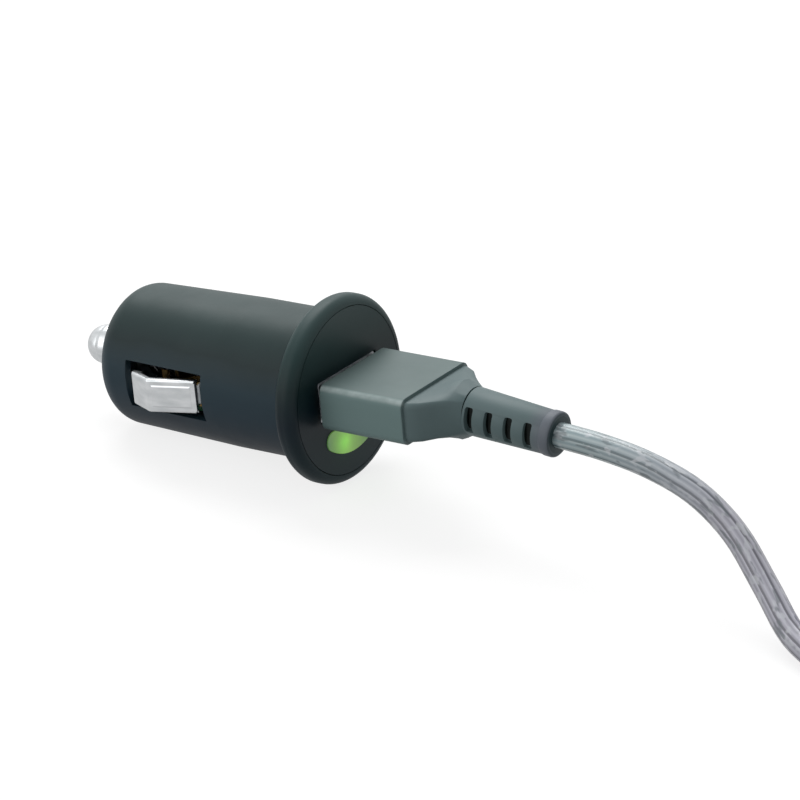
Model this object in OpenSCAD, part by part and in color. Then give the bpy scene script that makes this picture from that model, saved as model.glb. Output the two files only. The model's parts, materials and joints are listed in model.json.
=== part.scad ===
// Car USB charger plug with a cable plugged into it, in millimetres.
// Each sub-part is drawn in the charger's own frame: X runs along the barrel with zero at the back of
// the flange, the cord end is +X and +Z is up. at_rest() then leans the whole charger onto its nose
// and its rim, as it lies on a table, with zero on that surface below the middle.

/* [Barrel] */
// Diameter of the straight part that the car socket grips
barrel_d = 20.8; // [19.5:0.1:22]
// Diameter of the barrel just behind its rounded nose
nose_d = 19.9; // [19:0.1:21.5]
// Length from the back of the flange to the nose face
barrel_len = 33.6; // [31:0.2:42]
// Length of the straight part, measured from the flange
straight_len = 12.5; // [10:0.5:13]
// Radius that rounds the nose
nose_round = 3.6; // [2:0.1:4.2]
// Wall of the barrel moulding
barrel_wall = 1.6; // [1.2:0.1:1.8]
// Diameter of the flange
flange_d = 26.2; // [25.6:0.1:32]
// Thickness of the flange
flange_t = 3.2; // [2.8:0.1:5]
// Rounding of the flange edge on the face side
flange_front_round = 1.4; // [0.8:0.1:1.4]
// Rounding of the flange edge on the socket side
flange_back_round = 1.2; // [0.6:0.1:1.3]

/* [Face] */
// Width of the flange's lip round the face plate that is let into it
flange_lip = 1.5; // [1.4:0.1:1.9]
// Thickness of the face plate
face_t = 1.2; // [1:0.1:1.6]
// Height of the USB port above the barrel's axis
port_z = 0.5; // [0:0.1:0.8]
// Radius of the lower edge of the lit window, about the barrel's axis
window_r = 8.7; // [8.4:0.05:8.7]
// Height of the upper edge of the lit window
window_top = -4.3; // [-4.8:0.1:-4.2]
// Rounding of the lit window's corners
window_round = 1.4; // [0.8:0.1:1.5]

/* [USB port] */
// Width of the opening in the port's metal shell
port_w = 12.5; // [12.4:0.05:12.6]
// Height of the opening in the port's metal shell
port_h = 5.0; // [4.9:0.05:5.15]
// Length of the port's metal shell
port_len = 13.9; // [13:0.1:14.5]
// Sheet thickness of the port's shell
port_sheet = 0.4; // [0.25:0.05:0.4]
// Width of the port's tongue
tongue_w = 11.0; // [10.6:0.1:11.1]
// Thickness of the port's tongue
tongue_t = 1.7; // [1.5:0.05:1.75]
// Width of each contact strip
strip_w = 1.0; // [0.8:0.1:1.2]

/* [Contacts] */
// Diameter of the centre contact
tip_d = 6.0; // [5.8:0.1:7]
// Length of the centre contact ahead of the nose
tip_out = 8.0; // [6:0.1:10]
// How far the centre contact can be pushed in
tip_travel = 2.5; // [1.5:0.1:2.5]
// Length of the flat face of each ground contact
ground_len = 8.8; // [7:0.1:8.8]
// Width of each ground contact
ground_w = 6.1; // [5:0.1:6.3]
// Distance of the ground contacts' outer faces from the barrel's axis
ground_out = 10.9; // [10.6:0.05:11.2]
// Height of the ground contacts' middle above the barrel's axis
ground_z = -0.4; // [-0.6:0.1:0]
// How far each ground contact can be pushed in
ground_travel = 1.2; // [0.8:0.1:1.2]
// Sheet thickness of the ground contacts
ground_sheet = 0.4; // [0.3:0.05:0.5]

/* [Circuit] */
// Width of the circuit board
board_w = 15.2; // [14.4:0.1:15.4]
// Thickness of the circuit board
board_t = 1.0; // [0.8:0.1:1.2]
// Length of the centre contact's spring, from the contact's head to its cup on the board's end
spring_len = 6.7; // [6:0.1:7.5]

/* [Cable plug] */
// Width of the plug's moulded grip
grip_w = 15.8; // [15:0.1:18]
// Thickness of the plug's moulded grip
grip_t = 6.6; // [6.2:0.1:8]
// Length of the grip's block, up to its shoulders
grip_len = 13.2; // [11:0.1:16]
// Rounding of the grip's long edges
grip_round = 1.2; // [0.6:0.1:1.6]
// Length of the shoulders between the block and the strain relief
shoulder_len = 6.3; // [5:0.1:8]
// Gap between the grip and the charger's face
grip_gap = 1.1; // [0.4:0.1:2]
// Width of the plug's metal shell
plug_w = 12.0; // [11.9:0.05:12.1]
// Height of the plug's metal shell
plug_h = 4.5; // [4.4:0.05:4.6]
// Length of the plug's metal shell ahead of the grip
plug_out = 12.0; // [11.5:0.05:12.2]
// Sheet thickness of the plug's shell
plug_sheet = 0.3; // [0.25:0.05:0.35]
// Radius of the strain relief where it leaves the shoulders
relief_r1 = 3.3; // [2.8:0.05:3.6]
// Radius of the strain relief at its far end
relief_r2 = 2.95; // [2.5:0.05:3.2]
// Length of the strain relief
relief_len = 13.2; // [12.5:0.1:20]
// Angle by which the strain relief hangs below the plug's line
relief_droop = 5; // [0:0.1:6]
// Slots along each side of the strain relief
slot_count = 4; // [3:1:4]
// Distance from one slot to the next
slot_pitch = 3.0; // [2.6:0.05:3.2]
// Width of each slot
slot_w = 1.2; // [0.8:0.1:1.4]
// Height of each slot
slot_h = 3.6; // [2.4:0.1:4]

/* [Cord] */
// Diameter of the cord
cord_d = 3.5; // [3:0.1:3.8]
// Distance of the long coil's outermost strand from its middle, on the side where the cord comes in
coil_r = 15.5; // [15:0.1:16.5]
// Length of the coil's straight sides
coil_straight = 28; // [24:0.5:32]
// Turns in each of the coil's two layers
coil_turns = 3; // [2:1:3]
// Length of the device plug's grip
device_len = 16; // [14:0.5:20]
// Width of the device plug's grip
device_w = 10.6; // [9.5:0.1:12]
// Thickness of the device plug's grip
device_t = 7.0; // [6:0.1:8]

/* [Hidden] */
$fn = 64;
over = 1;

// Clearances: a sliding fit, a loose fit, parts that only pass each other, and a strip in its groove
slide_gap = 0.05;
loose_gap = 0.1;
pass_gap = 0.3;
groove_gap = 0.02;

// Barrel and flange
barrel_r = barrel_d / 2;
nose_r = nose_d / 2;
flange_r = flange_d / 2;
bore_r = barrel_r - barrel_wall;
nose_wall = 1.8;
nose_in = -barrel_len + nose_wall;
seat_x = flange_t - face_t;
flange_wall = 0.8;
face_r = flange_r - flange_lip;
ledge = 0.6;
recess_r = face_r - ledge;

// The lean of the charger: the line that touches the rim's back rounding and the nose's rounding
rim_x = flange_back_round;
rim_drop = flange_r - flange_back_round;
nose_x = nose_round - barrel_len;
nose_drop = nose_r - nose_round;
reach = norm([rim_x - nose_x, rim_drop - nose_drop]);
lean = atan2(rim_drop - nose_drop, rim_x - nose_x)
     + asin((flange_back_round - nose_round) / reach);
lift = flange_back_round + rim_drop * cos(lean) - rim_x * sin(lean);

// Faces of the port and the plug
face_x = flange_t;
port_front = face_x - 0.2;
port_back = port_front - port_len;
shell_bottom = port_z - port_h / 2 - port_sheet;
grip_x = face_x + grip_gap;
plug_front = grip_x - plug_out;
shoulder_x = grip_x + grip_len;
relief_x = shoulder_x + shoulder_len;
cavity_w = plug_w - 2 * plug_sheet;
cavity_h = plug_h - 2 * plug_sheet;
plug_round = 0.55;
insulator_t = 1.9;
insulator_top = port_z - cavity_h / 2 + insulator_t;
strip_proud = 0.05;
plug_strip_top = insulator_top + strip_proud;
strip_t = 0.25;
strip_back = 1.0;
port_strip_bottom = plug_strip_top + groove_gap;
tongue_bottom = port_strip_bottom + 0.08;
tongue_tip = port_front - 1.9;
tongue_root = port_back + 2.7;
pin_y = [-3.5, -1, 1, 3.5];
tail_x = port_back - 0.7;

// How far the plug's inner pieces reach into its grip, and the walls of the core that holds them
shell_in = 2.6;
insulator_in = 2.5;
insulator_root = 0.6;
strip_in = 4.2;
socket_gap = 0.03;
core_front = 1.2;
core_back = 2.4;
core_side = 0.7;
core_top = 0.45;

// Centre contact, its spring and cup
tip_r = tip_d / 2;
tip_x = -barrel_len - tip_out;
tip_dome = 2.8;
head_r = tip_r + 0.8;
head_t = 1.0;
head_boss = 1.2;
spring_wire = 0.7;
spring_r = 2.5;
spring_turns = 4;
boss_r = spring_r - spring_wire / 2 - 0.25;
cup_lap = 0.9;
cup_t = 0.6;
spring_front = nose_in + head_t;
spring_back = spring_front + spring_len;
cup_boss_front = spring_front + head_boss + tip_travel + pass_gap;

// Circuit board and what stands on it, between the port's back and the board's back end
board_top = shell_bottom;
board_bottom = board_top - board_t;
board_front = -1.7;
board_back = spring_back + cup_lap;
board_middle = (tail_x + board_back) / 2;
rail_t = 0.9;
rail_y = board_w / 2 - 0.5;
leg_w = 2.2;
leg_x = [port_front - 5.8, port_front - 10.6];

// Ground contacts and their windows
ground_front = -barrel_len + 10.2;
ground_back = ground_front + ground_len;
ramp_len = 2.5;
ramp_drop = 1.7;
hook_len = 1.3;
hook_w = 3;
window_gap = 0.4;
window_back = ground_back + window_gap;
window_front = ground_front - ramp_len - 1.6;
rail_back = window_back + hook_len + 0.9;
hook_out = bore_r - 0.45;
bow_sheet = 0.25;
bow_w = 4.4;
bow_feet = board_w / 2 + slide_gap;
bow_crown = ground_out - ground_sheet - slide_gap;
bow_front = ground_front + 0.8;
bow_back = ground_back - ground_sheet - 0.6;

// Strain relief, cord and coil
cord_r = cord_d / 2;
cord_bore_r = cord_r + slide_gap;
collar_len = 1.6;
slot_first = 0.95;
ring_step = 0.1;
slot_floor = cord_bore_r + 0.05;
relief_root = [relief_x, 0, port_z];

// Where the charger's own solids end along X, once it leans
tip_centre = tip_x + tip_dome;
relief_end = relief_point(relief_len);
span_left = tip_centre * cos(lean) - tip_dome;
span_right = relief_end[0] * cos(lean) - relief_end[2] * sin(lean)
           + (relief_r2 + 0.15) * sin(lean - relief_droop);
middle_x = (span_left + span_right) / 2;

// The cord's route after it leaves the strain relief: points on its centre line, chosen by hand
lead_points = [
    [46, 0, 16.05], [53, 0, 15.45], [60, -0.3, 13.75], [66.5, -1.4, 10.4],
    [73, -4.4, 6.0], [79.5, -8.4, 2.7], [86, -10.8, 1.8]
];

// The coil: its near strands lie half a cord's width off its far ones, as one turn leads to the next
coil_start = [93.2, -11.25];
coil_end = [coil_start[0] + coil_straight, coil_start[1]];
coil_centre = [coil_start[0] + coil_straight / 2, coil_start[1] + coil_r, 0];
coil_shift = cord_d / 4;
coil_out = coil_r + cord_r - coil_shift;
coil_hole = coil_r - coil_turns * cord_d - cord_r + coil_shift;
tie_t = 0.5;
tie_w = 5;

// The device plug and the tail that leads to it
device_x = coil_end[0] + coil_out - 2.1;
device_y = coil_end[1] + 3.65;
device_neck = 6;
device_out = 6.2;
device_in = 3;
tail_points = [
    [coil_end[0] + 1.8, coil_end[1], 5.2], [coil_end[0] + 5.8, coil_end[1] + 0.4, 4.8],
    [device_x - 5, device_y - 1.7, 4.1], [device_x - 2.5, device_y - 0.5, 3.7],
    [device_x - 0.2, device_y, device_t / 2], [device_x + device_neck, device_y, device_t / 2]
];

// A point on the strain relief's line, at a distance from its root, in the charger's frame
function relief_point(d) =
    [relief_x + d * cos(relief_droop), 0, port_z - d * sin(relief_droop)];

// A point of the charger's frame once the charger leans on the table
function rested(p) = [
    p[0] * cos(lean) - p[2] * sin(lean) - middle_x,
    p[1],
    p[0] * sin(lean) + p[2] * cos(lean) + lift
];

// Leans the charger onto its nose and its rim, with zero on the table below the middle
module at_rest() {
    translate([-middle_x, 0, lift]) rotate([0, -lean, 0]) children();
}

// A solid of revolution about the barrel's axis: the outline's first axis is the radius, its second X
module turned() {
    rotate([0, 90, 0]) rotate_extrude($fn = 96) children();
}

// A block given by its two opposite corners
module block(low, high) {
    translate(low) cube(high - low);
}

// A flat outline in Y and Z, drawn out along X from one place to another
module along_x(from, to) {
    translate([from, 0, 0]) rotate([90, 0, 90]) linear_extrude(height = to - from) children();
}

// A flat outline in X and Z, given a width across Y about its middle
module across_y(width, middle = 0) {
    translate([0, middle + width / 2, 0]) rotate([90, 0, 0]) linear_extrude(height = width) children();
}

// A flat outline in X and Y, given a height in Z about its middle
module across_z(height, middle = 0) {
    translate([0, 0, middle - height / 2]) linear_extrude(height = height) children();
}

// A rectangle about its middle, with round corners
module rounded(w, h, r) {
    square([w - 2 * r, h], center = true);
    square([w, h - 2 * r], center = true);
    for (y = [-1, 1], z = [-1, 1])
        translate([y * (w / 2 - r), z * (h / 2 - r)]) circle(r, $fn = 32);
}

// Points along an arc from one angle to another, without its last point
function arc(centre, r, from, to, steps) =
    [for (i = [0:steps - 1]) let (a = from + (to - from) * i / steps) centre + r * [cos(a), sin(a)]];

// The lit window: a slice of a circle about the axis, below a level edge, with round corners
module window_outline(inset = 0) {
    corner_z = window_top - window_round;
    corner_r = window_r - window_round;
    corner_y = sqrt(corner_r * corner_r - corner_z * corner_z);
    slope = atan2(corner_z, corner_y);
    r = window_round - inset;
    polygon(concat(
        arc([corner_y, corner_z], r, slope, 90, 12),
        [[corner_y, window_top - inset]],
        arc([-corner_y, corner_z], r, 90, 180 - slope, 12),
        arc([0, 0], window_r - inset, 180 - slope, 360 + slope, 24)
    ));
}

// Outline of the barrel and flange before they are hollowed
module barrel_outline() {
    translate([0, -straight_len]) square([barrel_r, straight_len + over]);
    polygon([[0, nose_x], [nose_r, nose_x], [barrel_r, -straight_len], [0, -straight_len]]);
    translate([0, -barrel_len]) square([nose_drop, nose_round + over]);
    translate([nose_drop, nose_x]) circle(nose_round);
    square([rim_drop, flange_t - flange_front_round]);
    square([flange_r - flange_front_round, flange_t]);
    translate([0, flange_back_round]) square([flange_r, flange_t - flange_back_round - flange_front_round]);
    translate([rim_drop, rim_x]) circle(flange_back_round);
    translate([flange_r - flange_front_round, flange_t - flange_front_round]) circle(flange_front_round);
}

// The hollow inside the barrel and the stepped seat for the face plate
module barrel_hollow() {
    translate([0, nose_in]) square([bore_r, -nose_in + flange_wall + over]);
    translate([0, flange_wall]) square([recess_r, flange_t]);
    translate([0, seat_x]) square([face_r + loose_gap, face_t + over]);
    translate([0, -barrel_len - over]) square([tip_r + slide_gap, barrel_len]);
}

// The window in the barrel's side that a ground contact comes out of
module ground_window(side) {
    half = ground_w / 2 + window_gap;
    y0 = side * (bore_r - 2.2);
    y1 = side * (barrel_r + over);
    block([window_front, min(y0, y1), ground_z - half], [window_back, max(y0, y1), ground_z + half]);
}

// Rails inside the barrel that the circuit board slides between
module board_rails() {
    for (side = [-1, 1], level = [board_top + loose_gap, board_bottom - loose_gap - rail_t]) {
        y0 = side * rail_y;
        y1 = side * (bore_r + barrel_wall / 2);
        block([rail_back, min(y0, y1), level], [board_front - 0.8, max(y0, y1), level + rail_t]);
    }
}

module barrel_housing() {
    color([0.19, 0.23, 0.23]) at_rest() union() {
        difference() {
            turned() difference() {
                barrel_outline();
                barrel_hollow();
            }
            ground_window(-1);
            ground_window(1);
        }
        intersection() {
            board_rails();
            turned() translate([0, -barrel_len]) square([bore_r + barrel_wall / 2, barrel_len]);
        }
    }
}

// Face plate: a disc in the flange, a snap ring behind it and a collar round the port
module face_plate() {
    opening_w = port_w + 2 * port_sheet + loose_gap;
    opening_h = port_h + 2 * port_sheet + loose_gap;
    collar = 0.8;
    color([0.10, 0.14, 0.15]) at_rest() difference() {
        union() {
            turned() {
                translate([0, seat_x]) square([face_r, face_t]);
                translate([recess_r - loose_gap - 1, flange_wall + loose_gap]) square([1, seat_x - flange_wall]);
            }
            translate([0, 0, port_z]) along_x(board_front + 0.2, seat_x + over / 2)
                square([opening_w + 2 * collar, opening_h + 2 * collar], center = true);
        }
        translate([0, 0, port_z]) along_x(board_front - over, face_x + over)
            square([opening_w, opening_h], center = true);
        along_x(seat_x - over, face_x + over) window_outline();
    }
}

// Light pipe: the lens that shows in the face, and a foot that bends the light down from the lamp
module light_pipe() {
    foot_w = 4;
    foot_top = window_top - 0.3;
    foot_bottom = -8;
    foot_back = board_front - 3.2;
    color([0.55, 0.9, 0.45]) at_rest() {
        along_x(-0.5, face_x + 0.15) window_outline(slide_gap);
        across_y(foot_w) polygon([
            [foot_back, foot_top], [0, foot_top], [0, foot_bottom],
            [foot_back + foot_top - foot_bottom, foot_bottom]
        ]);
    }
}

// Centre contact: a turned pin with a rounded end and a head that keeps it inside the nose
module centre_contact() {
    color([0.80, 0.82, 0.82]) at_rest() turned() {
        intersection() {
            translate([0, tip_centre]) circle(tip_dome);
            translate([0, tip_x]) square([tip_dome, tip_dome]);
        }
        polygon([
            [0, tip_centre], [tip_dome, tip_centre], [tip_r, tip_centre + 0.6],
            [tip_r, nose_in + over / 2], [0, nose_in + over / 2]
        ]);
        translate([0, nose_in + slide_gap]) square([head_r, head_t - slide_gap]);
        translate([0, nose_in]) square([boss_r, head_t + head_boss]);
    }
}

// Compression spring: one wire wound from the contact's head to the spring cup
module contact_spring() {
    steps = 14;
    half = spring_wire / 2 + slide_gap;
    run = spring_back - spring_front - 2 * half;
    wire_path = [for (i = [0:spring_turns * steps]) [
        spring_front + half + run * i / (spring_turns * steps),
        spring_r * cos(i * 360 / steps),
        spring_r * sin(i * 360 / steps)
    ]];
    color([0.66, 0.67, 0.68]) at_rest() tube(wire_path, spring_wire / 2);
}

// Spring cup: a disc on two legs that stand on the board. Its boss holds the spring in line and
// stops the contact's boss at the end of its travel
module spring_cup() {
    cup_r = spring_r + spring_wire / 2 + 0.6;
    leg = 1.6;
    color([0.80, 0.68, 0.36]) at_rest() {
        turned() {
            translate([0, spring_back]) square([cup_r, cup_t]);
            translate([0, cup_boss_front]) square([boss_r, spring_back + cup_t / 2 - cup_boss_front]);
        }
        for (y = [-2, 2])
            block([spring_back, y - leg / 2, board_top], [board_back + 2.2, y + leg / 2, board_top + cup_t]);
    }
}

// Draws a piece of the right side as it is, and one of the left side mirrored
module on_side(side) {
    if (side < 0) mirror([0, 1, 0]) children();
    else children();
}

// A ground contact: a pressed strip with a flat face, a ramp at the front and a hook at each end.
// Its back leg keeps the full width over the depth that it slides through
module ground_contact(side) {
    t = ground_sheet;
    ramp_x = ground_front - ramp_len;
    ramp_y = ground_out - ramp_drop;
    leg_y = ground_out - ground_travel;
    color([0.82, 0.84, 0.85]) at_rest() on_side(side) union() {
        across_z(ground_w, ground_z) polygon([
            [ground_back, ground_out], [ground_front, ground_out], [ramp_x, ramp_y],
            [ramp_x, ramp_y - t], [ground_front, ground_out - t],
            [ground_back - t, ground_out - t], [ground_back - t, leg_y], [ground_back, leg_y]
        ]);
        across_z(hook_w, ground_z) polygon([
            [ramp_x + t, ramp_y - t / 2], [ramp_x, ramp_y - t / 2], [ramp_x, hook_out],
            [window_front - hook_len, hook_out], [window_front - hook_len, hook_out - t],
            [ramp_x + t, hook_out - t]
        ]);
        across_z(hook_w, ground_z) polygon([
            [ground_back - t, leg_y + t], [ground_back, leg_y + t], [ground_back, hook_out],
            [window_back + hook_len, hook_out], [window_back + hook_len, hook_out - t],
            [ground_back - t, hook_out - t]
        ]);
    }
}

// A bow spring: a strip with one foot on the board's edge and a crown behind the ground contact
module ground_spring(side) {
    t = bow_sheet;
    mid = (bow_front + bow_back) / 2;
    foot = 1.2;
    color([0.74, 0.66, 0.42]) at_rest() on_side(side) across_z(bow_w, ground_z) polygon([
        [bow_back, bow_feet + t], [bow_back - foot, bow_feet + t], [mid + 1.2, bow_crown], [mid - 1.2, bow_crown],
        [bow_front + foot, bow_feet + t], [bow_front, bow_feet + t], [bow_front, bow_feet],
        [bow_front + foot + 0.1, bow_feet], [mid - 1.1, bow_crown - t], [mid + 1.1, bow_crown - t],
        [bow_back - foot - 0.1, bow_feet], [bow_back, bow_feet]
    ]);
}

// Circuit board with slots for the port's legs
module circuit_board() {
    color([0.10, 0.36, 0.20]) at_rest() difference() {
        block([board_back, -board_w / 2, board_bottom], [board_front, board_w / 2, board_top]);
        for (x = leg_x, side = [-1, 1]) {
            y = side * (port_w / 2 + port_sheet / 2);
            block(
                [x - leg_w / 2 - loose_gap, y - port_sheet / 2 - loose_gap, board_bottom - over],
                [x + leg_w / 2 + loose_gap, y + port_sheet / 2 + loose_gap, board_top + over]
            );
        }
    }
}

// The port's metal shell: a drawn tube with spring fingers cut in its top, and four legs
module port_shell() {
    w = port_w + 2 * port_sheet;
    h = port_h + 2 * port_sheet;
    finger_w = 2.2;
    finger_len = 5;
    cut = 0.4;
    color([0.72, 0.74, 0.76]) at_rest() {
        difference() {
            translate([0, 0, port_z]) along_x(port_back, port_front) difference() {
                rounded(w, h, 0.7);
                square([port_w, port_h], center = true);
            }
            for (y = [-3, 3]) difference() {
                block([port_front - 3 - finger_len, y - finger_w / 2 - cut, port_z],
                      [port_front - 3, y + finger_w / 2 + cut, port_z + h]);
                block([port_front - 3 - finger_len - over, y - finger_w / 2, port_z - over],
                      [port_front - 3 - cut, y + finger_w / 2, port_z + h + over]);
            }
        }
        for (x = leg_x, side = [-1, 1]) {
            y = side * (port_w / 2 + port_sheet / 2);
            block([x - leg_w / 2, y - port_sheet / 2, board_bottom - 0.6],
                  [x + leg_w / 2, y + port_sheet / 2, port_z]);
        }
    }
}

// The strip of a port contact: along the tongue, through its root and down to the board
module port_strip(y, grow = 0) {
    low = port_strip_bottom - grow;
    high = port_strip_bottom + strip_t + grow;
    front = tongue_tip - 0.6 + grow;
    across_y(strip_w + 2 * grow, y) polygon([
        [front, low], [front, high], [tail_x - strip_t - grow, high],
        [tail_x - strip_t - grow, board_top], [tail_x + grow, board_top], [tail_x + grow, low]
    ]);
}

// The port's insulator: a root block that fills the shell's back, and the tongue
module port_tongue() {
    fit = slide_gap;
    color([0.92, 0.92, 0.90]) at_rest() difference() {
        union() {
            block([port_back, -port_w / 2 + fit, port_z - port_h / 2 + fit],
                  [tongue_root, port_w / 2 - fit, port_z + port_h / 2 - fit]);
            block([tongue_root - over, -tongue_w / 2, tongue_bottom],
                  [tongue_tip, tongue_w / 2, tongue_bottom + tongue_t]);
        }
        for (y = pin_y) port_strip(y, groove_gap);
    }
}

module port_contact(i) {
    color([0.86, 0.70, 0.30]) at_rest() port_strip(pin_y[i - 1]);
}

// Shielded inductor: a square ferrite block with cut corners and a round wound middle
module power_inductor() {
    w = 5.6;
    h = 3.6;
    color([0.30, 0.30, 0.32]) at_rest() translate([board_middle, 3.3, board_top]) difference() {
        translate([0, 0, h / 2]) linear_extrude(height = h, center = true) intersection() {
            square(w, center = true);
            rotate(45) square(w * 1.22, center = true);
        }
        translate([0, 0, h - 0.4]) difference() {
            cylinder(h = over, r = w / 2 - 0.4);
            translate([0, 0, -over]) cylinder(h = 3 * over, r = w / 2 - 1.2);
        }
    }
}

// Electrolytic capacitor: a can on a square plastic base with two cut corners
module can_capacitor(d, h) {
    base = d + 0.3;
    base_h = 0.8;
    cut = 0.8;
    union() {
        linear_extrude(height = base_h) polygon([
            [-base / 2, -base / 2 + cut], [-base / 2 + cut, -base / 2], [base / 2, -base / 2],
            [base / 2, base / 2], [-base / 2 + cut, base / 2], [-base / 2, base / 2 - cut]
        ]);
        cylinder(h = h, d = d);
    }
}

module input_capacitor() {
    color([0.70, 0.71, 0.74]) at_rest() translate([board_middle, -3.2, board_top]) can_capacitor(5, 5.4);
}

module output_capacitor() {
    color([0.66, 0.67, 0.72]) at_rest() translate([board_front - 5.9, -3, board_bottom]) mirror([0, 0, 1])
        can_capacitor(4, 3.2);
}

// Eight-legged converter chip under the board
module converter_chip() {
    body_w = 3.9;
    body_l = 4.9;
    body_h = 1.45;
    lift_off = 0.15;
    color([0.12, 0.12, 0.13]) at_rest() translate([board_middle, 0, board_bottom]) mirror([0, 0, 1]) {
        translate([-body_l / 2, -body_w / 2, lift_off]) cube([body_l, body_w, body_h]);
        for (i = [0:3], side = [-1, 1]) {
            x = (i - 1.5) * 1.27;
            y0 = side * (body_w / 2 - 0.2);
            y1 = side * (body_w / 2 + 1.05);
            block([x - 0.2, min(y0, y1), 0], [x + 0.2, max(y0, y1), lift_off + 0.35]);
        }
    }
}

// A chip part with metal ends under the board
module chip_part(size, at, end) {
    translate(at) mirror([0, 0, 1]) {
        translate([-size[0] / 2, -size[1] / 2, 0.05]) cube([size[0], size[1], size[2] - 0.05]);
        for (side = [-1, 1]) {
            x0 = side * (size[0] / 2 - end);
            x1 = side * (size[0] / 2 + 0.1);
            block([min(x0, x1), -size[1] / 2 - 0.05, 0], [max(x0, x1), size[1] / 2 + 0.05, size[2] + 0.05]);
        }
    }
}

module catch_diode() {
    color([0.16, 0.16, 0.17]) at_rest() chip_part([4.3, 2.6, 2.0], [tail_x + 0.8, 4.6, board_bottom], 0.5);
}

module chip_fuse() {
    color([0.90, 0.90, 0.86]) at_rest() chip_part([3.2, 1.6, 0.8], [board_back + 2.6, -4.8, board_bottom], 0.5);
}

module indicator_led() {
    color([0.88, 0.90, 0.80]) at_rest() chip_part([2.0, 1.4, 0.8], [board_front - 1.6, 0, board_bottom], 0.35);
}

// The cable plug's metal shell: a folded tube with two square holes in its top and bottom
module plug_shell() {
    hole = 2.5;
    color([0.76, 0.78, 0.80]) at_rest() difference() {
        translate([0, 0, port_z]) along_x(plug_front, grip_x + shell_in) difference() {
            rounded(plug_w, plug_h, plug_round);
            square([cavity_w, cavity_h], center = true);
        }
        for (y = [-3, 3])
            block([plug_front + 4.6, y - hole / 2, port_z - plug_h], [plug_front + 4.6 + hole, y + hole / 2, port_z + plug_h]);
    }
}

// The strip of a plug contact, along the insulator and out behind it
module plug_strip(y, grow = 0) {
    block([plug_front + strip_back - grow, y - strip_w / 2 - grow, plug_strip_top - strip_t - grow],
          [grip_x + strip_in + grow, y + strip_w / 2 + grow, plug_strip_top + grow]);
}

// The plug's insulator: a tongue under the contacts and a root that fills the shell's back
module plug_insulator() {
    half = cavity_w / 2 - slide_gap;
    low = port_z - cavity_h / 2 + slide_gap;
    high = port_z + cavity_h / 2 - slide_gap;
    back = grip_x + insulator_in;
    color([0.90, 0.90, 0.88]) at_rest() difference() {
        union() {
            block([plug_front + 0.4, -half, low], [back, half, insulator_top]);
            block([grip_x - insulator_root, -half, low], [back, half, high]);
        }
        for (y = pin_y) plug_strip(y, groove_gap);
    }
}

module plug_contact(i) {
    color([0.86, 0.70, 0.30]) at_rest() plug_strip(pin_y[i - 1]);
}

// Inner mould: the hard core that holds the shell's back and the wires inside the soft grip
module mould_core() {
    translate([0, 0, port_z]) along_x(grip_x + core_front, shoulder_x - core_back)
        rounded(plug_w + 2 * core_side, plug_h + 2 * core_top, core_side);
}

// The pocket that the back end of the plug's shell sits in
module shell_pocket(from, to) {
    translate([0, 0, port_z]) along_x(from, to)
        rounded(plug_w + 2 * socket_gap, plug_h + 2 * socket_gap, plug_round + socket_gap);
}

module plug_inner_mould() {
    color([0.80, 0.82, 0.84]) at_rest() difference() {
        mould_core();
        shell_pocket(grip_x, grip_x + shell_in + slide_gap);
        for (y = pin_y) plug_strip(y, groove_gap);
    }
}

// Everything on the strain relief's line: zero at its root, X along it
module on_relief() {
    translate(relief_root) rotate([0, relief_droop, 0]) children();
}

// The slotted strain relief: a tapering sleeve with slots through both sides, and an end collar
module relief_body() {
    collar_r = relief_r2 + 0.15;
    on_relief() difference() {
        union() {
            rotate([0, 90, 0]) cylinder(h = relief_len - 0.4, r1 = relief_r1, r2 = relief_r2);
            translate([relief_len - collar_len, 0, 0]) rotate([0, 90, 0]) cylinder(h = collar_len, r = collar_r);
        }
        for (i = [0:slot_count - 1], side = [-1, 1]) {
            x = slot_first + i * slot_pitch;
            y0 = side * slot_floor;
            y1 = side * (relief_r1 + over);
            block([x - slot_w / 2, min(y0, y1), -slot_h / 2], [x + slot_w / 2, max(y0, y1), slot_h / 2]);
        }
    }
}

// The plug's soft grip: a rounded block, shoulders that taper to the cord, and the strain relief
module plug_grip() {
    step = 0.5;
    color([0.42, 0.47, 0.47]) at_rest() difference() {
        union() {
            translate([0, 0, port_z]) along_x(grip_x, shoulder_x) rounded(grip_w, grip_t, grip_round);
            hull() {
                translate([0, 0, port_z]) along_x(shoulder_x - over, shoulder_x)
                    rounded(grip_w - step, grip_t - 2 * step, grip_round);
                translate([0, 0, port_z]) along_x(shoulder_x + 1.6, shoulder_x + 1.7)
                    rounded(grip_w - 2.6, grip_t - 2 * step - 0.3, grip_round);
                on_relief() rotate([0, 90, 0]) cylinder(h = 0.5, r = relief_r1 + ring_step, $fn = 32);
            }
            relief_body();
        }
        shell_pocket(grip_x - over, grip_x + core_front + over / 2);
        mould_core();
        on_relief() translate([-shoulder_len - core_back - over / 2, 0, 0]) rotate([0, 90, 0])
            cylinder(h = shoulder_len + core_back + relief_len + over, r = cord_bore_r);
    }
}

// A vector of length 1, and the way that a path runs at one of its points
function unit(v) = v / norm(v);
function tube_direction(path, i) =
    unit(path[min(i + 1, len(path) - 1)] - path[max(i - 1, 0)]);

// A point of the ring that stands square to the path at one of its points
function ring_point(path, i, angle, r) =
    let (
        ahead = tube_direction(path, i),
        side = unit(cross([0, 0, 1], ahead)),
        up = cross(ahead, side)
    )
    path[i] + r * (cos(angle) * side + sin(angle) * up);

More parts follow.
